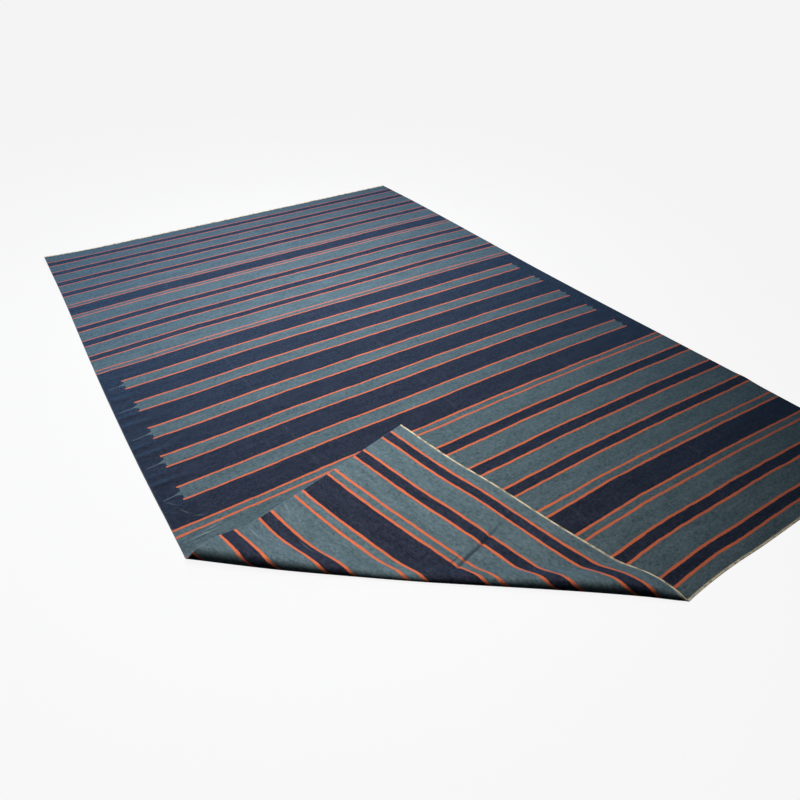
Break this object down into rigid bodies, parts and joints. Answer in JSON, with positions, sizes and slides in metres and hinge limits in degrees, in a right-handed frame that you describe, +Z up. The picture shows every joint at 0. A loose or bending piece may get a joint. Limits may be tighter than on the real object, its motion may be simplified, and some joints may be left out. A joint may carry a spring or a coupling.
{
  "type": "dhurrie rug",
  "caption": "Flat-woven cotton dhurrie rug in teal and navy bands with orange lines, lying flat with one corner folded over; twisted cream cord finishes both ends.",
  "frame": {"origin": "on the floor, under the middle of the rug", "axes": "+Y along the rug from the end with the folded corner to the far end, +X across it to the right, +Z up from the floor"},
  "size_m": [2.4168, 3.7398, 0.0608],
  "materials": {
    "striped_cotton": "matte flat weave",
    "cream_cotton": "matte twisted cord"
  },
  "bodies": {
    "root": {"rug_cloth": "striped_cotton", "near_end_cord": "cream_cotton", "far_end_cord": "cream_cotton"}
  },
  "joints": []
}
